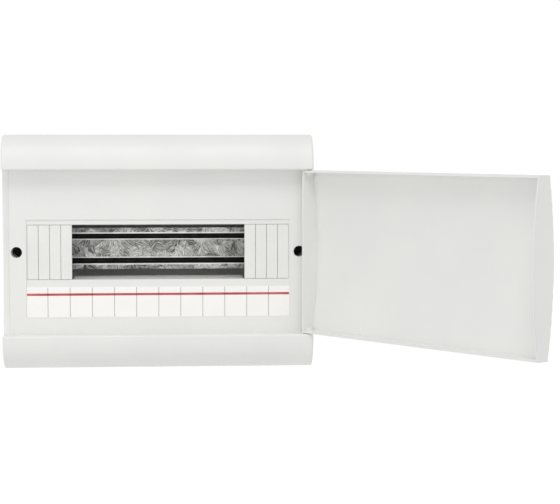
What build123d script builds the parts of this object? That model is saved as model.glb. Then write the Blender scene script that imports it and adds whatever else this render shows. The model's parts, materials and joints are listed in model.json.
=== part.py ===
from build123d import *
import os

# A twelve-module breaker panel box for a wall, with its door standing open.
# Origin: centre of the back face. +X right, +Y into the wall, +Z up. Depths are counted forward from the wall.

# Enclosure
body_width = 252.0
body_height = 191.0
mask_depth = 72.0
hood_depth = 13.0
shoulder_depth = 62.0
lip_height = 67.0
cover_wall = 2.2
edge_radius = 1.5
seam_depth = 30.0
seam_gap = 0.3

# Back box
box_wall = 3.0
floor_thick = 2.5
tongue_wall = 1.4
tongue_height = 4.0
tongue_root = 5.0
tongue_gap = 0.3
wall_hole_radius = 2.5
wall_hole_pitch_x = 200.0
wall_hole_pitch_z = 150.0

# Module window, in steps of one 18 mm module
window_width = 213.0
window_height = 44.8
blanks_each_side = 4
blank_half_width = 9.07
blank_gap = 0.25
blank_ledge = 1.8
blank_ledge_thick = 1.5
blank_seat_gap = 0.3
shroud_end_gap = 0.4
shroud_wall = 1.4
shroud_depth = 38.0
recess_depth = 0.8
recess_border = 0.7
recess_top = 26.4
recess_bottom = -53.3

# Circuit label
label_side_gap = 0.05
label_height = 24.8
label_thick = 0.5
label_rise = 0.05

# Mounting rail, 35 mm top hat
rail_height = 35.0
rail_crown = 25.0
rail_drop = 7.5
rail_thick = 1.0
rail_rib_half = 8.1
rail_rib_rise = 3.0
rail_front = 26.0
rail_end_gap = 1.6
rail_slot_length = 10.0
rail_post_x = 90.0
rail_post_width = 12.0
rail_post_gap = 0.1

# Screws
screw_radius = 2.0
screw_head_radius = 4.0
screw_head_height = 2.6
screw_recess_width = 1.0
screw_recess_length = 4.8
screw_head_fillet = 0.5
rail_screw_head_radius = 5.0
bar_hole_offset = 1.0
screw_recess_depth = 1.4
screw_fit = 0.1
rail_screw_length = 12.0
cover_screw_length = 18.0
cover_screw_inset = 10.9
well_radius = 4.5
well_wall = 1.6
well_floor_depth = 45.0
well_floor_thick = 2.3
screw_post_radius = 5.5
post_gap = 0.3
head_gap = 0.1

# Door, modelled shut and then swung open about its hinge
door_end_gap = 0.5
door_rim_gap = 1.0
door_wall = 2.0
door_bulge = 5.5
free_flange_wall = 1.6
free_rim_bulge = 5.7
free_edge_margin = 3.4
hinge_edge_reach = 2.8
hinge_inset = 3.0
hinge_forward = 6.5
door_open_angle = 127.5
door_edge_radius = 1.2
grip_gap = 0.8
grip_wall = 2.0
grip_side_gap = 0.3
pin_radius = 1.5
pin_door_fit = 0.03
pin_hood_fit = 0.08
pin_in_door = 3.2
pin_in_hood = 7.0
pin_end_gap = 0.5
knuckle_radius = 2.8
knuckle_floor = 0.8

# Terminal bars
bar_height_z = 62.0
bar_ways = 10
bar_pitch = 10.0
bar_size_z = 7.0
bar_size_y = 9.0
bar_standoff = 14.0
bar_end = 6.0
bar_hole_radius = 2.5
bar_screw_radius = 2.0
bar_screw_length = 4.0
holder_margin = 2.0
holder_cheek = 3.0
holder_cheek_height = 5.0
holder_gap = 0.1

# Cable entry plates in the top and bottom walls
entry_width = 120.0
entry_depth = 18.0
entry_centre_depth = 14.0
entry_gap = 0.3
entry_flange = 2.0
entry_flange_thick = 1.2
knockout_pitch = 38.0
knockout_radius = 7.5
knockout_groove = 0.7
knockout_groove_depth = 0.8

# Values that follow
half_width = body_width / 2
half_height = body_height / 2
mask_inner = mask_depth - cover_wall
cover_screw_x = half_width - cover_screw_inset
hinge_x = half_width - hinge_inset
free_edge_reach = hinge_x + half_width - free_edge_margin
hood_front = mask_depth + hood_depth
cover_back = seam_depth + seam_gap
door_half = lip_height - door_end_gap
door_rim = mask_depth + door_rim_gap
hinge_depth = mask_depth + hinge_forward
free_edge_x = hinge_x - free_edge_reach
door_width = free_edge_reach + hinge_edge_reach
blanked_width = blanks_each_side * blank_half_width
shroud_width = window_width - 2 * (blanked_width + shroud_end_gap)
label_width = window_width + 2 * (recess_border - label_side_gap)
rail_length = 2 * (cover_screw_x - screw_post_radius - rail_end_gap)
rail_web_front = rail_front - rail_drop + rail_thick
rail_rib_front = rail_web_front + rail_rib_rise
rail_post_top = rail_rib_front - rail_thick - rail_post_gap
bar_length = (bar_ways - 1) * bar_pitch + 2 * bar_end
cut_margin = 1.0

os.makedirs("parts", exist_ok=True)


def export(part, name):
    part.label = name
    export_step(part, f"parts/{name}.step")


def front_plane(depth):
    """The plane parallel to the wall at this depth, facing the user."""
    return Plane.XZ.offset(depth)


def cover_profile(inset):
    """Side section of the cover, drawn in by the wall, with depth along its first axis."""
    lip = lip_height + inset
    top = half_height - inset
    nose = hood_front - inset
    mask = mask_depth - inset
    back = cover_back if inset == 0 else cover_back - cut_margin
    reach = nose - shoulder_depth
    with BuildSketch() as section:
        with BuildLine():
            EllipticalCenterArc((-shoulder_depth, lip), reach, top - lip, start_angle=90, arc_size=90)
            Polyline((-nose, lip), (-mask, lip), (-mask, -lip), (-nose, -lip))
            EllipticalCenterArc((-shoulder_depth, -lip), reach, top - lip, start_angle=180, arc_size=90)
            Polyline((-shoulder_depth, -top), (-back, -top), (-back, top), (-shoulder_depth, top))
        make_face()
    return section.sketch


def door_profile(inset, rim):
    """Side section of the door when shut: a bowed front, straight ends and a rim."""
    end = door_half - inset
    front = hood_front - inset
    with BuildSketch() as section:
        with BuildLine():
            ThreePointArc((-front, -end), (-front - door_bulge, 0), (-front, end))
            Polyline((-front, end), (-rim, end), (-rim, -end), (-front, -end))
        make_face()
    return section.sketch


def cover_screw(side):
    """One captive cover screw: pan head with a cross recess, seated in its well."""
    head_back = well_floor_depth + head_gap
    head_front = head_back + screw_head_height
    with BuildPart() as screw:
        with BuildSketch(front_plane(head_back)):
            with Locations((side * cover_screw_x, 0)):
                Circle(screw_head_radius)
        extrude(amount=screw_head_height)
        fillet(screw.faces().sort_by(Axis.Y)[0].edges(), screw_head_fillet)
        with BuildSketch(front_plane(head_back)):
            with Locations((side * cover_screw_x, 0)):
                Circle(screw_radius)
        extrude(amount=-cover_screw_length)
        with BuildSketch(front_plane(head_front)):
            with Locations((side * cover_screw_x, 0)):
                Rectangle(screw_recess_length, screw_recess_width)
                Rectangle(screw_recess_width, screw_recess_length)
        extrude(amount=-screw_recess_depth, mode=Mode.SUBTRACT)
    return screw.part


# Back box
with BuildPart() as back_box:
    with BuildSketch(front_plane(0)):
        RectangleRounded(body_width, body_height, edge_radius)
    extrude(amount=seam_depth)
    with BuildSketch(front_plane(floor_thick)):
        Rectangle(body_width - 2 * box_wall, body_height - 2 * box_wall)
    extrude(amount=seam_depth, mode=Mode.SUBTRACT)
    tongue_inset = cover_wall + tongue_gap
    with BuildSketch(front_plane(seam_depth - tongue_root)):
        Rectangle(body_width - 2 * tongue_inset, body_height - 2 * tongue_inset)
        tongue_inner = tongue_inset + tongue_wall
        Rectangle(body_width - 2 * tongue_inner, body_height - 2 * tongue_inner, mode=Mode.SUBTRACT)
    extrude(amount=tongue_root + tongue_height)
    # Posts that carry the mounting rail
    with BuildSketch(front_plane(0)):
        with Locations((-rail_post_x, 0), (rail_post_x, 0)):
            Rectangle(rail_post_width, 2 * (rail_rib_half - rail_thick - rail_post_gap))
    extrude(amount=rail_post_top)
    with BuildSketch(front_plane(floor_thick)):
        with Locations((-rail_post_x, 0), (rail_post_x, 0)):
            Circle(screw_radius + screw_fit)
    extrude(amount=rail_front, mode=Mode.SUBTRACT)
    # Posts that take the cover screws
    screw_post_top = well_floor_depth - well_floor_thick - post_gap
    with BuildSketch(front_plane(0)):
        with Locations((-cover_screw_x, 0), (cover_screw_x, 0)):
            Circle(screw_post_radius)
    extrude(amount=screw_post_top)
    with BuildSketch(front_plane(well_floor_depth - cover_screw_length - pin_end_gap)):
        with Locations((-cover_screw_x, 0), (cover_screw_x, 0)):
            Circle(screw_radius + screw_fit)
    extrude(amount=cover_screw_length, mode=Mode.SUBTRACT)
    # Wall fixing holes
    with BuildSketch(front_plane(0)):
        with GridLocations(wall_hole_pitch_x, wall_hole_pitch_z, 2, 2):
            Circle(wall_hole_radius)
    extrude(amount=floor_thick, mode=Mode.SUBTRACT)
    # Cable entry openings, top and bottom
    with BuildSketch(Plane.XY.offset(-half_height)):
        with Locations((0, -entry_centre_depth)):
            Rectangle(entry_width, entry_depth)
    extrude(amount=body_height, mode=Mode.SUBTRACT)
export(back_box.part, "back_box")


# Cable entry plates: a plug in the opening, a flange behind it and scored knock-outs
def entry_plate(name, side):
    with BuildPart() as plate:
        wall_inner = half_height - box_wall
        with BuildSketch(Plane.XY.offset(wall_inner)):
            with Locations((0, -entry_centre_depth)):
                Rectangle(entry_width - 2 * entry_gap, entry_depth - 2 * entry_gap)
        extrude(amount=box_wall - knockout_groove_depth)
        with BuildSketch(Plane.XY.offset(wall_inner)):
            with Locations((0, -entry_centre_depth)):
                Rectangle(entry_width + 2 * entry_flange, entry_depth + 2 * entry_flange)
        extrude(amount=-entry_flange_thick)
        with BuildSketch(plate.faces().sort_by(Axis.Z)[-1]):
            with GridLocations(knockout_pitch, entry_depth, 3, 1):
                Circle(knockout_radius)
                Circle(knockout_radius - knockout_groove, mode=Mode.SUBTRACT)
        extrude(amount=-knockout_groove_depth, mode=Mode.SUBTRACT)
    part = plate.part if side > 0 else plate.part.mirror(Plane.XY)
    export(part, name)


entry_plate("entry_plate_top", 1)
entry_plate("entry_plate_bottom", -1)

# Front cover
cover_outside = cover_profile(0)
cover_inside = cover_profile(cover_wall)
with BuildPart() as front_cover:
    with BuildSketch(Plane.YZ):
        add(cover_outside)
    extrude(amount=half_width, both=True)
    side_faces = front_cover.faces().filter_by(Axis.X)
    side_edges = side_faces.edges().filter_by(lambda edge: edge.center().Y < -cover_back - cut_margin)
    nose_edges = front_cover.edges().filter_by(Axis.X).group_by(Axis.Y)[0]
    fillet(side_edges + nose_edges, edge_radius)
    with BuildSketch(Plane.YZ):
        add(cover_inside)
    extrude(amount=half_width - cover_wall, both=True, mode=Mode.SUBTRACT)
    # Solid strip under the finger recess at the door's free edge
    grip_side = free_edge_x + free_flange_wall + grip_side_gap
    grip_depth = free_rim_bulge - door_rim_gap + grip_gap
    strip_width = grip_side + half_width + grip_wall
    with BuildSketch(front_plane(mask_inner)):
        with Locations((-half_width + strip_width / 2, 0)):
            Rectangle(strip_width - 2 * edge_radius, 2 * lip_height)
    extrude(amount=-(grip_depth + grip_wall - cover_wall))
    # Screw wells
    with BuildSketch(front_plane(mask_inner)):
        with Locations((-cover_screw_x, 0), (cover_screw_x, 0)):
            Circle(well_radius + well_wall)
    extrude(amount=-(mask_inner - well_floor_depth + well_floor_thick))
    with BuildSketch(front_plane(well_floor_depth)):
        with Locations((-cover_screw_x, 0), (cover_screw_x, 0)):
            Circle(well_radius)
    extrude(amount=mask_depth - well_floor_depth + cut_margin, mode=Mode.SUBTRACT)
    with BuildSketch(front_plane(well_floor_depth - well_floor_thick - cut_margin)):
        with Locations((-cover_screw_x, 0), (cover_screw_x, 0)):
            Circle(screw_radius + post_gap)
    extrude(amount=well_floor_thick + 2 * cut_margin, mode=Mode.SUBTRACT)
    # Finger recess: an arc that clears the bowed rim of the door
    with BuildSketch(Plane.YZ.offset(grip_side)):
        with BuildLine():
            grip_ends = ((-mask_depth, lip_height), (-mask_depth, -lip_height))
            ThreePointArc(grip_ends[0], (-mask_depth + grip_depth, 0), grip_ends[1])
            Line((-mask_depth, -lip_height), (-mask_depth, lip_height))
        make_face()
    extrude(amount=-(half_width + grip_side + cut_margin), mode=Mode.SUBTRACT)
    # Shallow recess round the window and label, and the window itself
    recess_height = recess_top - recess_bottom
    with BuildSketch(front_plane(mask_depth)):
        with Locations((0, (recess_top + recess_bottom) / 2)):
            Rectangle(window_width + 2 * recess_border, recess_height)
    extrude(amount=-recess_depth, mode=Mode.SUBTRACT)
    with BuildSketch(front_plane(mask_inner - cut_margin)):
        Rectangle(window_width, window_height)
    extrude(amount=cover_wall + 2 * cut_margin, mode=Mode.SUBTRACT)
    # Guide walls above and below the open modules
    guide_rise = (window_height + shroud_wall) / 2
    with BuildSketch(front_plane(mask_inner)):
        with Locations((0, guide_rise), (0, -guide_rise)):
            Rectangle(shroud_width, shroud_wall)
    extrude(amount=-shroud_depth)
    # Hinge bearings inside the hoods
    for end in (1, -1):
        bearing_length = pin_in_hood + pin_end_gap + knuckle_floor
        with BuildSketch(Plane.XY.offset(end * lip_height)):
            with Locations((hinge_x, -hinge_depth)):
                Circle(knuckle_radius)
        extrude(amount=end * bearing_length)
        with BuildSketch(Plane.XY.offset(end * lip_height)):
            with Locations((hinge_x, -hinge_depth)):
                Circle(pin_radius + pin_hood_fit)
        extrude(amount=end * (pin_in_hood + pin_end_gap), mode=Mode.SUBTRACT)
export(front_cover.part, "front_cover")

# Door, shut
door_outside = door_profile(0, door_rim)
door_inside = door_profile(door_wall, door_rim - cut_margin)
with BuildPart() as door:
    with BuildSketch(Plane.YZ.offset(free_edge_x)):
        add(door_outside)
    extrude(amount=door_width)
    fillet(door.faces().sort_by(Axis.Y)[0].edges(), door_edge_radius)
    with BuildSketch(Plane.YZ.offset(free_edge_x + free_flange_wall)):
        add(door_inside)
    extrude(amount=door_width - free_flange_wall - door_wall, mode=Mode.SUBTRACT)
    # Free-side flange, with its rim bowed towards the cover
    with BuildSketch(Plane.YZ.offset(free_edge_x)):
        with BuildLine():
            rim_ends = ((-door_rim, door_half), (-door_rim, -door_half))
            ThreePointArc(rim_ends[0], (-door_rim + free_rim_bulge, 0), rim_ends[1])
            flange_depth = -hood_front + door_wall
            Polyline(rim_ends[1], (flange_depth, -door_half), (flange_depth, door_half), rim_ends[0])
        make_face()
    extrude(amount=free_flange_wall)
    for end in (1, -1):
        with BuildSketch(Plane.XY.offset(end * door_half)):
            with Locations((hinge_x, -hinge_depth)):
                Circle(knuckle_radius)
        extrude(amount=-end * (pin_in_door + knuckle_floor))
        with BuildSketch(Plane.XY.offset(end * door_half)):
            with Locations((hinge_x, -hinge_depth)):
                Circle(pin_radius + pin_door_fit)
        extrude(amount=-end * pin_in_door, mode=Mode.SUBTRACT)
hinge_axis = Axis((hinge_x, -hinge_depth, 0), (0, 0, 1))
export(door.part.rotate(hinge_axis, door_open_angle), "door")

# Hinge pins, held in the door and turning in the hoods
for name, end in (("hinge_pin_top", 1), ("hinge_pin_bottom", -1)):
    with BuildPart() as hinge_pin:
        with BuildSketch(Plane.XY.offset(end * (door_half - pin_in_door))):
            with Locations((hinge_x, -hinge_depth)):
                Circle(pin_radius)
        extrude(amount=end * (pin_in_door + door_end_gap + pin_in_hood))
    export(hinge_pin.part, name)

# Cover screws
export(cover_screw(-1), "cover_screw_left")
export(cover_screw(1), "cover_screw_right")

# Blanking strips, half a module wide each, in the outer modules of the window
recess_front = mask_depth - recess_depth
blank_ledge_front = mask_inner - blank_seat_gap
for side_name, side in (("left", -1), ("right", 1)):
    for place in range(blanks_each_side):
        blank_x = side * (window_width / 2 - (place + 0.5) * blank_half_width)
        blank_width = blank_half_width - blank_gap
        with BuildPart() as blank:
            with BuildSketch(front_plane(blank_ledge_front)):
                with Locations((blank_x, 0)):
                    Rectangle(blank_width, window_height - 2 * blank_gap)
            extrude(amount=recess_front - blank_ledge_front)
            with BuildSketch(front_plane(blank_ledge_front)):
                with Locations((blank_x, 0)):
                    Rectangle(blank_width, window_height + 2 * blank_ledge)
            extrude(amount=-blank_ledge_thick)
        export(blank.part, f"blank_{side_name}_{place + 1}")

# Circuit label card
with BuildPart() as label_strip:
    with BuildSketch(front_plane(recess_front)):
        with Locations((0, recess_bottom + label_rise + label_height / 2)):
            Rectangle(label_width, label_height)
    extrude(amount=label_thick)
export(label_strip.part, "label_strip")

# Mounting rail: a top-hat section with a raised rib along the web
with BuildPart() as din_rail:
    crown = rail_crown / 2
    web_back = rail_web_front - rail_thick
    with BuildSketch(Plane.YZ):
        with BuildLine():
            upper = [
                (-rail_front, rail_height / 2),
                (-rail_front, crown),
                (-rail_web_front, crown),
                (-rail_web_front, rail_rib_half),
                (-rail_rib_front, rail_rib_half),
            ]
            lower = [(y, -z) for y, z in reversed(upper)]
            back_upper = [
                (-rail_rib_front + rail_thick, rail_rib_half - rail_thick),
                (-web_back, rail_rib_half - rail_thick),
                (-web_back, crown + rail_thick),
                (-rail_front + rail_thick, crown + rail_thick),
                (-rail_front + rail_thick, rail_height / 2),
            ]
            back_lower = [(y, -z) for y, z in reversed(back_upper)]
            Polyline(*upper, *lower, *back_lower, *back_upper, close=True)
        make_face()
    extrude(amount=rail_length / 2, both=True)
    with BuildSketch(front_plane(web_back)):
        with Locations((-rail_post_x, 0), (rail_post_x, 0)):
            SlotOverall(rail_slot_length, 2 * (screw_radius + post_gap))
    extrude(amount=rail_drop, mode=Mode.SUBTRACT)
export(din_rail.part, "din_rail")

# Rail screws
with BuildPart() as rail_screws:
    with BuildSketch(front_plane(rail_rib_front)):
        with Locations((-rail_post_x, 0), (rail_post_x, 0)):
            Circle(rail_screw_head_radius)
    extrude(amount=screw_head_height)
    with BuildSketch(front_plane(rail_rib_front)):
        with Locations((-rail_post_x, 0), (rail_post_x, 0)):
            Circle(screw_radius)
    extrude(amount=-rail_screw_length)
    with BuildSketch(front_plane(rail_rib_front + screw_head_height)):
        with Locations((-rail_post_x, 0), (rail_post_x, 0)):
            Rectangle(screw_recess_length, screw_recess_width)
            Rectangle(screw_recess_width, screw_recess_length)
    extrude(amount=-screw_recess_depth, mode=Mode.SUBTRACT)
export(rail_screws.part, "rail_screws")


# Terminal bars: a holder on the floor, the bar on it, and one clamp screw for each way
def terminal_bar(name, centre_z):
    bar_back = bar_standoff
    bar_front = bar_standoff + bar_size_y
    bar_middle = (bar_back + bar_front) / 2 - bar_hole_offset
    with BuildPart() as holder:
        with BuildSketch(front_plane(floor_thick)):
            with Locations((0, centre_z)):
                Rectangle(bar_length + 2 * (holder_gap + holder_cheek), bar_size_z + 2 * holder_margin)
        extrude(amount=bar_back - floor_thick)
        with BuildSketch(front_plane(bar_back)):
            with Locations((0, centre_z)):
                Rectangle(bar_length + 2 * (holder_gap + holder_cheek), bar_size_z + 2 * holder_margin)
                Rectangle(bar_length + 2 * holder_gap, bar_size_z + 2 * holder_margin, mode=Mode.SUBTRACT)
        extrude(amount=holder_cheek_height)
    export(holder.part, f"{name}_bar_holder")
    with BuildPart() as bar:
        with BuildSketch(front_plane(bar_back)):
            with Locations((0, centre_z)):
                Rectangle(bar_length, bar_size_z)
        extrude(amount=bar_size_y)
        with BuildSketch(Plane.XY.offset(centre_z - bar_size_z)):
            with Locations((0, -bar_middle)):
                with GridLocations(bar_pitch, bar_pitch, bar_ways, 1):
                    Circle(bar_hole_radius)
        extrude(amount=2 * bar_size_z, mode=Mode.SUBTRACT)
        with BuildSketch(front_plane(bar_middle)):
            with Locations((0, centre_z)):
                with GridLocations(bar_pitch, bar_pitch, bar_ways, 1):
                    Circle(bar_screw_radius + screw_fit)
        extrude(amount=bar_size_y, mode=Mode.SUBTRACT)
    export(bar.part, f"{name}_bar")
    with BuildPart() as screws:
        with BuildSketch(front_plane(bar_front)):
            with Locations((0, centre_z)):
                with GridLocations(bar_pitch, bar_pitch, bar_ways, 1):
                    Circle(bar_screw_radius)
                    Rectangle(2 * bar_screw_radius, screw_recess_width, mode=Mode.SUBTRACT)
        extrude(amount=-screw_recess_width)
        with BuildSketch(front_plane(bar_front - screw_recess_width)):
            with Locations((0, centre_z)):
                with GridLocations(bar_pitch, bar_pitch, bar_ways, 1):
                    Circle(bar_screw_radius)
        extrude(amount=screw_recess_width - bar_screw_length)
    export(screws.part, f"{name}_bar_screws")


terminal_bar("neutral", bar_height_z)
terminal_bar("earth", -bar_height_z)
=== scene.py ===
import json
import math

import bmesh
import bpy
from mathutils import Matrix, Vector


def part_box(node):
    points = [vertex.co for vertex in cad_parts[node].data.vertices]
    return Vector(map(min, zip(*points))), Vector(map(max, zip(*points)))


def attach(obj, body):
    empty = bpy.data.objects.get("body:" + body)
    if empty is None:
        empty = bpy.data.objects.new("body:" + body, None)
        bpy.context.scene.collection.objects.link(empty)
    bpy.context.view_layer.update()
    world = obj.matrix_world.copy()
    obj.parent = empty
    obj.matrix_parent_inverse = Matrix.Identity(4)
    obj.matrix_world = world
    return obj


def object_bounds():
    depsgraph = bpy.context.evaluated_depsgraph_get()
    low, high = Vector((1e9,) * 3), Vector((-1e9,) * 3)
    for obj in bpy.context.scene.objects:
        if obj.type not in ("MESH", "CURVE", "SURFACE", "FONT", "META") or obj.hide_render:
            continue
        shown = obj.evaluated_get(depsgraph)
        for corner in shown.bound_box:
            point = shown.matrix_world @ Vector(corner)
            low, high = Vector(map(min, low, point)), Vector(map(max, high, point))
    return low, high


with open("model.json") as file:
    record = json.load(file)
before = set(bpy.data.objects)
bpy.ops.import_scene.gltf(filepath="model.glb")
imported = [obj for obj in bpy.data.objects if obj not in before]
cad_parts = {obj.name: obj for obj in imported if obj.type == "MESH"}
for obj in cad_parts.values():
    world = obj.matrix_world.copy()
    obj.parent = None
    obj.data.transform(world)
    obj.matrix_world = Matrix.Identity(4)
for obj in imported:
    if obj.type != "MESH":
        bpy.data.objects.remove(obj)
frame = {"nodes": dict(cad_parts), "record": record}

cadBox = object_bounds()
mm = 0.001
scene = bpy.context.scene
scene.view_settings.view_transform = "Standard"
edgeSamples = 6


def fromHex(code):
    # sRGB hex to the linear colour that the nodes take
    parts = [int(code[i:i + 2], 16) / 255 for i in (1, 3, 5)]
    linear = [p / 12.92 if p <= 0.04045 else ((p + 0.055) / 1.055) ** 2.4 for p in parts]
    return (*linear, 1.0)


def perMm(size):
    # texture scale, in cells per metre, for a feature this many millimetres across
    return 1 / (size * mm)


def addNode(tree, kind, settings=None, links=None):
    # adds a node; a setting or link names a socket by its name or number, or else a property of the node
    node = tree.nodes.new(kind)
    for name, value in (settings or {}).items():
        if isinstance(name, str) and hasattr(node, name):
            setattr(node, name, value)
    for name, value in (settings or {}).items():
        if isinstance(name, int) or not hasattr(node, name):
            node.inputs[name].default_value = value
    for name, source in (links or {}).items():
        tree.links.new(source, node.inputs[name])
    return node


def newMaterial(name):
    made = bpy.data.materials.new(name)
    made.use_nodes = True
    made.node_tree.nodes.clear()
    return made, made.node_tree


def finishMaterial(tree, shader):
    addNode(tree, "ShaderNodeOutputMaterial", {}, {"Surface": shader.outputs[0]})


def mouldedPlastic(name, look):
    made, tree = newMaterial(name)
    place = addNode(tree, "ShaderNodeTexCoord").outputs["Object"]
    cloud = addNode(tree, "ShaderNodeTexNoise", {"Scale": perMm(look["cloudMm"]), "Detail": 3.0},
                    {"Vector": place})
    cloudAmount = addNode(tree, "ShaderNodeMapRange", {"From Min": 0.35, "From Max": 0.65},
                          {"Value": cloud.outputs[0]})
    shades = {"data_type": "RGBA", 6: fromHex(look["colour"]), 7: fromHex(look["cloudColour"])}
    colour = addNode(tree, "ShaderNodeMix", shades, {0: cloudAmount.outputs[0]})
    speck = addNode(tree, "ShaderNodeTexNoise", {"Scale": perMm(look["speckMm"]), "Detail": 2.0},
                    {"Vector": place})
    sparse = {"From Min": 0.62, "From Max": 0.8, "To Max": look["speck"]}
    speckAmount = addNode(tree, "ShaderNodeMapRange", sparse, {"Value": speck.outputs[0]})
    flecked = addNode(tree, "ShaderNodeMix", {"data_type": "RGBA", 7: fromHex(look["speckColour"])},
                      {0: speckAmount.outputs[0], 6: colour.outputs[2]})
    sheen = {"From Min": 0.3, "From Max": 0.7, "To Min": look["roughLow"], "To Max": look["roughHigh"]}
    rough = addNode(tree, "ShaderNodeMapRange", sheen, {"Value": cloud.outputs[0]})
    moulded = {"Scale": perMm(look["grainMm"]), "Detail": 4.0, "Roughness": 0.6}
    grain = addNode(tree, "ShaderNodeTexNoise", moulded, {"Vector": place})
    edge = addNode(tree, "ShaderNodeBevel", {"samples": edgeSamples, "Radius": look["edgeMm"] * mm})
    raised = {"Strength": look["grainStrength"], "Distance": look["grainDeepMm"] * mm}
    bump = addNode(tree, "ShaderNodeBump", raised, {"Height": grain.outputs[0], "Normal": edge.outputs[0]})
    surface = {"IOR": look["ior"], "Specular IOR Level": look["specular"]}
    inputs = {"Base Color": flecked.outputs[2], "Roughness": rough.outputs[0], "Normal": bump.outputs[0]}
    shader = addNode(tree, "ShaderNodeBsdfPrincipled", surface, inputs)
    finishMaterial(tree, shader)
    return made


# White ABS, injection moulded in a spark-eroded tool: a satin white with an even grain and soft highlights
whiteAbs = {
    "colour": "#efefec", "cloudColour": "#ececea", "cloudMm": 60,
    "speckColour": "#dededc", "speck": 0.18, "speckMm": 1.1,
    "roughLow": 0.38, "roughHigh": 0.5, "grainMm": 0.8, "grainDeepMm": 0.03, "grainStrength": 0.5,
    "edgeMm": 0.5, "ior": 1.53, "specular": 0.45,
}  # the tool's grain is about 0.2 mm; it is drawn at 0.8 mm so that it shows
# The door's ABS came from a polished tool, so it is a little smoother and glossier
doorAbs = {**whiteAbs, "roughLow": 0.3, "roughHigh": 0.4, "grainStrength": 0.3}
# Blanking strips are thin polypropylene: slightly greyer, waxy and duller
stripPp = {**whiteAbs, "cloudColour": "#ebebe8", "cloudMm": 25, "roughLow": 0.45, "roughHigh": 0.55}
# Knock-out plates, same moulding as the box with a flatter finish
plateAbs = {**whiteAbs, "colour": "#ebebe8", "roughLow": 0.5, "roughHigh": 0.6}
# Acetal pins, turned: a smoother milky white
pinAcetal = {**whiteAbs, "colour": "#e6e5e1", "cloudColour": "#dddcd8", "cloudMm": 6,
             "roughLow": 0.25, "roughHigh": 0.35}
# Dyed polyamide holders: matt, slightly mottled by the glass fibre in them
bluePolyamide = {**whiteAbs, "colour": "#2a5ea8", "cloudColour": "#24528f", "cloudMm": 8,
                 "speckColour": "#5b83bd", "roughLow": 0.45, "roughHigh": 0.6}
greenPolyamide = {**bluePolyamide, "colour": "#2e8a4a", "cloudColour": "#26753e", "speckColour": "#63a878"}
# Printed card: a warm, dull white with paper fibres
paperCard = {**whiteAbs, "colour": "#fffefb", "cloudColour": "#fefcf8", "cloudMm": 12,
             "speckColour": "#f3f0e8", "speck": 0.25, "speckMm": 0.7, "roughLow": 0.7, "roughHigh": 0.85,
             "grainMm": 0.6, "edgeMm": 0.1, "specular": 0.2}
# Offset ink on the card: follows the paper, a little uneven where the card drank it
redInk = {**paperCard, "colour": "#b9474f", "cloudColour": "#cf6f74", "cloudMm": 20,
          "speckColour": "#e2a6a6", "roughLow": 0.5}
greyInk = {**paperCard, "colour": "#aeaba4", "cloudColour": "#b9b6af", "cloudMm": 10,
           "speckColour": "#d6d3cc", "roughLow": 0.5}


def platedMetal(name, look):
    made, tree = newMaterial(name)
    place = addNode(tree, "ShaderNodeTexCoord").outputs["Object"]
    crystals = addNode(tree, "ShaderNodeTexVoronoi", {"Scale": perMm(look["crystalMm"])}, {"Vector": place})
    tone = addNode(tree, "ShaderNodeSeparateColor", {}, {"Color": crystals.outputs["Color"]})
    turn = addNode(tree, "ShaderNodeMath", {"operation": "MULTIPLY", 1: 2 * math.pi}, {0: tone.outputs[2]})
    turned = addNode(tree, "ShaderNodeVectorRotate", {"rotation_type": "Y_AXIS"},
                     {"Vector": place, "Angle": turn.outputs[0]})
    needleWide, needleLong = look["needleMm"]
    stretch = {"operation": "MULTIPLY", 1: [perMm(needleWide), perMm(needleLong), perMm(needleLong)]}
    drawn = addNode(tree, "ShaderNodeVectorMath", stretch, {0: turned.outputs[0]})
    needles = addNode(tree, "ShaderNodeTexNoise", {"Scale": 1.0, "Detail": 3.0, "Roughness": 0.6},
                      {"Vector": drawn.outputs[0]})
    blend = addNode(tree, "ShaderNodeMath", {"operation": "MULTIPLY_ADD", 1: look["toneShare"]},
                    {0: tone.outputs[0], 2: needles.outputs[0]})
    amount = addNode(tree, "ShaderNodeMapRange", {"From Min": 0.42, "From Max": 0.66 + look["toneShare"]},
                     {"Value": blend.outputs[0]})
    greys = {"data_type": "RGBA", 6: fromHex(look["dark"]), 7: fromHex(look["light"])}
    colour = addNode(tree, "ShaderNodeMix", greys, {0: amount.outputs[0]})
    rough = addNode(tree, "ShaderNodeMapRange", {"To Min": look["roughLow"], "To Max": look["roughHigh"]},
                    {"Value": tone.outputs[1]})
    finish = colour.outputs[2]
    if "grooves" in look:
        # painted shade in the rail's grooves and painted highlights along its bends
        finish = paintShadeAndHighlights(tree, place, finish, look["grooves"])
    edge = addNode(tree, "ShaderNodeBevel", {"samples": edgeSamples, "Radius": look["edgeMm"] * mm})
    bump = addNode(tree, "ShaderNodeBump", {"Strength": look["bump"], "Distance": look["bumpMm"] * mm},
                   {"Height": blend.outputs[0], "Normal": edge.outputs[0]})
    shader = addNode(tree, "ShaderNodeBsdfPrincipled", {"Metallic": 1.0},
                     {"Base Color": finish, "Roughness": rough.outputs[0], "Normal": bump.outputs[0]})
    finishMaterial(tree, shader)
    return made


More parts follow.
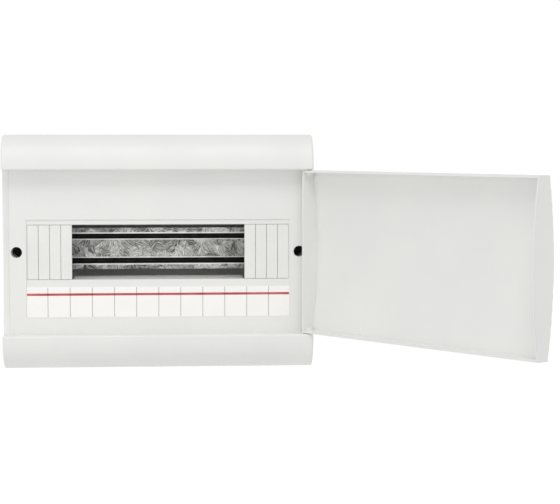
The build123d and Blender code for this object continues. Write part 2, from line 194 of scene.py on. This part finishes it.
def paintShadeAndHighlights(tree, place, finish, look):
    # painted shade darkens the two deep grooves by depth, and a painted highlight draws a bright line along
    # each bend
    axes = addNode(tree, "ShaderNodeSeparateXYZ", {}, {"Vector": place})
    depths = {"From Min": -look["faceMm"] * mm, "From Max": -look["bottomMm"] * mm}
    deep = addNode(tree, "ShaderNodeMapRange", depths, {"Value": axes.outputs["Y"]})
    shadedFinish = addNode(tree, "ShaderNodeMix", {"data_type": "RGBA", 7: fromHex(look["paintedShade"])},
                     {0: deep.outputs[0], 6: finish})
    height = addNode(tree, "ShaderNodeMath", {"operation": "ABSOLUTE"}, {0: axes.outputs["Z"]})
    shown = shadedFinish.outputs[2]
    # each bend gets a painted highlight: a bright line drawn into the colour
    for bendMm, frontMm in look["bendsMm"]:
        bend = {"operation": "COMPARE", 1: bendMm * mm, 2: look["lineMm"] * mm / 2}
        line = addNode(tree, "ShaderNodeMath", bend, {0: height.outputs[0]})
        front = addNode(tree, "ShaderNodeMath", {"operation": "LESS_THAN", 1: -frontMm * mm},
                        {0: axes.outputs["Y"]})
        paintedHighlight = addNode(tree, "ShaderNodeMath", {"operation": "MULTIPLY"},
                       {0: line.outputs[0], 1: front.outputs[0]})
        shown = addNode(tree, "ShaderNodeMix", {"data_type": "RGBA", 7: fromHex(look["paintedHighlight"])},
                        {0: paintedHighlight.outputs[0], 6: shown}).outputs[2]
    return shown


# Hot-dip galvanised steel, rolled: a spangle of feathery zinc crystals, each with its own grey and sheen
galvanised = {
    "crystalMm": 7.0, "needleMm": (0.8, 5.5), "toneShare": 0.2, "dark": "#4a4a48", "light": "#f0f0ec",
    "roughLow": 0.35, "roughHigh": 0.6, "bump": 0.3, "bumpMm": 0.08, "edgeMm": 0.35,
}
railZinc = {**galvanised, "grooves": {
    # the dark colour is painted shade in the grooves, the bright colour a painted highlight along the bends
    "faceMm": 22.3, "bottomMm": 21.0, "paintedShade": "#232322", "paintedHighlight": "#f2f2ef", "lineMm": 1.5,
    "bendsMm": ((8.0, 22.4), (12.9, 25.9)),
}}  # depths and heights of the grooves and bends, from the rail's section
# Bright zinc-plated steel screws: fine, even and fairly shiny
zincPlated = {**galvanised, "crystalMm": 0.5, "dark": "#b5b6b3", "light": "#d2d3cf",
              "roughLow": 0.22, "roughHigh": 0.35}
# Black-oxide steel screws: nearly black with an oily sheen
blackOxide = {**zincPlated, "dark": "#222221", "light": "#3c3c3a", "roughLow": 0.4, "roughHigh": 0.55}
# Drawn brass bar: warm yellow, with small uneven patches left by drawing
drawnBrass = {**galvanised, "crystalMm": 1.2, "dark": "#b08d4a", "light": "#d3b26b",
              "roughLow": 0.25, "roughHigh": 0.42}

finishes = {
    "housing": mouldedPlastic("white_abs_moulded", whiteAbs),
    "door_shell": mouldedPlastic("white_abs_polished_tool", doorAbs),
    "blanking": mouldedPlastic("white_polypropylene_moulded", stripPp),
    "entry": mouldedPlastic("white_abs_matt_moulded", plateAbs),
    "pin_plastic": mouldedPlastic("white_acetal_turned", pinAcetal),
    "holder_blue": mouldedPlastic("blue_polyamide_moulded", bluePolyamide),
    "holder_green": mouldedPlastic("green_polyamide_moulded", greenPolyamide),
    "label_card": mouldedPlastic("white_card_printed", paperCard),
    "rail_steel": platedMetal("galvanised_steel_rolled", railZinc),
    "zinc_screw": platedMetal("zinc_plated_steel", zincPlated),
    "dark_screw": platedMetal("black_oxide_steel", blackOxide),
    "bar_brass": platedMetal("brass_drawn", drawnBrass),
}
inks = {
    "red": mouldedPlastic("red_ink_offset", redInk),
    "grey": mouldedPlastic("grey_ink_offset", greyInk),
}

for entry in frame["record"]["subparts"]:
    cadObject = frame["nodes"][entry["node"]]
    cadObject.data.materials.clear()
    cadObject.data.materials.append(finishes[entry["material_slot"]])


def printedBars(name, bars, material):
    # ink on the card: each bar is (low x, high x, low z, high z), as thick as a heavy coat of ink
    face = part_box("label_strip")[0].y
    mesh = bpy.data.meshes.new(name)
    shape = bmesh.new()
    for left, right, bottom, top in bars:
        outline = ((left, bottom), (right, bottom), (right, top), (left, top))
        depths = (face - labelPrint["inkMm"] * mm, face - labelPrint["liftMm"] * mm)
        corners = [(x, y, z) for y in depths for x, z in outline]
        points = [shape.verts.new(corner) for corner in corners]
        for ring in ((0, 1, 2, 3), (7, 6, 5, 4), (0, 4, 5, 1), (1, 5, 6, 2), (2, 6, 7, 3), (3, 7, 4, 0)):
            shape.faces.new([points[i] for i in ring])
    bmesh.ops.recalc_face_normals(shape, faces=shape.faces)
    shape.to_mesh(mesh)
    shape.free()
    piece = bpy.data.objects.new(name, mesh)
    scene.collection.objects.link(piece)
    mesh.materials.append(material)
    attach(piece, "enclosure")
    return piece


labelPrint = {
    "modules": 12, "pitchMm": 18, "lineMm": 0.5, "redDownMm": 5.1, "redHighMm": 1.9,
    "inkMm": 0.05, "liftMm": 0.01,
}
cardLow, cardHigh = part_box("label_strip")
halfLine = labelPrint["lineMm"] * mm / 2
dividers = []
for step in range(1, labelPrint["modules"]):
    x = (step - labelPrint["modules"] / 2) * labelPrint["pitchMm"] * mm
    dividers.append((x - halfLine, x + halfLine, cardLow.z + halfLine, cardHigh.z - halfLine))
printedBars("label_dividers", dividers, inks["grey"])
redTop = cardHigh.z - labelPrint["redDownMm"] * mm
redBottom = redTop - labelPrint["redHighMm"] * mm
redLine = (cardLow.x + halfLine, cardHigh.x - halfLine, redBottom, redTop)
printedBars("label_red_line", [redLine], inks["red"])
print("label printed")

# Camera, floor and light
view = {
    "standOff": 1.452, "eyeHeight": 0.0934, "lens": 108.64, "sensor": 36.0, "yaw": 4.12, "pitch": -3.885,
}
cameraData = bpy.data.cameras.new("camera")
camera = bpy.data.objects.new("camera", cameraData)
scene.collection.objects.link(camera)
cameraData.lens = view["lens"]
cameraData.sensor_width = view["sensor"]
camera.location = (0, -view["standOff"], view["eyeHeight"])
camera.rotation_euler = (math.radians(90 + view["pitch"]), 0, -math.radians(view["yaw"]))
scene.camera = camera

studio = {
    "floorDown": 0.30, "floorSize": 12.0, "world": 0.6, "backdrop": 1.0,
    "floorColour": "#f7f7f7", "floorLift": 0.45,
}


def seesBackdrop(tree):
    path = addNode(tree, "ShaderNodeLightPath")
    seen = addNode(tree, "ShaderNodeMath", {"operation": "MAXIMUM"},
                   {0: path.outputs["Is Camera Ray"], 1: path.outputs["Is Glossy Ray"]})
    return addNode(tree, "ShaderNodeMath", {"operation": "MAXIMUM"},
                   {0: seen.outputs[0], 1: path.outputs["Is Transmission Ray"]})


world = bpy.data.worlds.new("studio")
scene.world = world
world.use_nodes = True
sky = world.node_tree
sky.nodes.clear()
soft = addNode(sky, "ShaderNodeBackground", {"Color": (1, 1, 1, 1), "Strength": studio["world"]})
white = addNode(sky, "ShaderNodeBackground", {"Color": (1, 1, 1, 1), "Strength": studio["backdrop"]})
chosen = addNode(sky, "ShaderNodeMixShader", {},
                 {0: seesBackdrop(sky).outputs[0], 1: soft.outputs[0], 2: white.outputs[0]})
addNode(sky, "ShaderNodeOutputWorld", {}, {"Surface": chosen.outputs[0]})

floorMesh = bpy.data.meshes.new("floor")
half = studio["floorSize"] / 2
floorCorners = [(-half, -half, 0), (half, -half, 0), (half, half, 0), (-half, half, 0)]
floorMesh.from_pydata(floorCorners, [], [(0, 1, 2, 3)])
floor = bpy.data.objects.new("floor", floorMesh)
floor.location = (0, 0, cadBox[0][2] - studio["floorDown"])
scene.collection.objects.link(floor)
floorMaterial, floorTree = newMaterial("floor_paint")
matt = addNode(floorTree, "ShaderNodeBsdfDiffuse", {"Color": fromHex(studio["floorColour"])})
lift = addNode(floorTree, "ShaderNodeEmission", {"Strength": studio["floorLift"]})
both = addNode(floorTree, "ShaderNodeAddShader", {}, {0: matt.outputs[0], 1: lift.outputs[0]})
paint = addNode(floorTree, "ShaderNodeMixShader", {},
                {0: seesBackdrop(floorTree).outputs[0], 1: matt.outputs[0], 2: both.outputs[0]})
addNode(floorTree, "ShaderNodeOutputMaterial", {}, {"Surface": paint.outputs[0]})
floorMesh.materials.append(floorMaterial)


def softBox(name, place, aim, size, power):
    lampData = bpy.data.lights.new(name, "AREA")
    lampData.shape = "RECTANGLE"
    lampData.size, lampData.size_y = size
    lampData.energy = power
    lamp = bpy.data.objects.new(name, lampData)
    lamp.location = place
    lamp.rotation_euler = (Vector(aim) - Vector(place)).to_track_quat("-Z", "Y").to_euler()
    scene.collection.objects.link(lamp)


boxFront = (0, -0.08, 0)
softBox("key", (-0.1, -1.25, 1.6), boxFront, (1.1, 0.8), 11.0)
softBox("fill", (-1.3, -1.2, 0.1), boxFront, (1.0, 1.2), 3.8)
softBox("side", (1.3, -1.4, 0.1), boxFront, (0.9, 1.1), 2.2)
print("studio set")
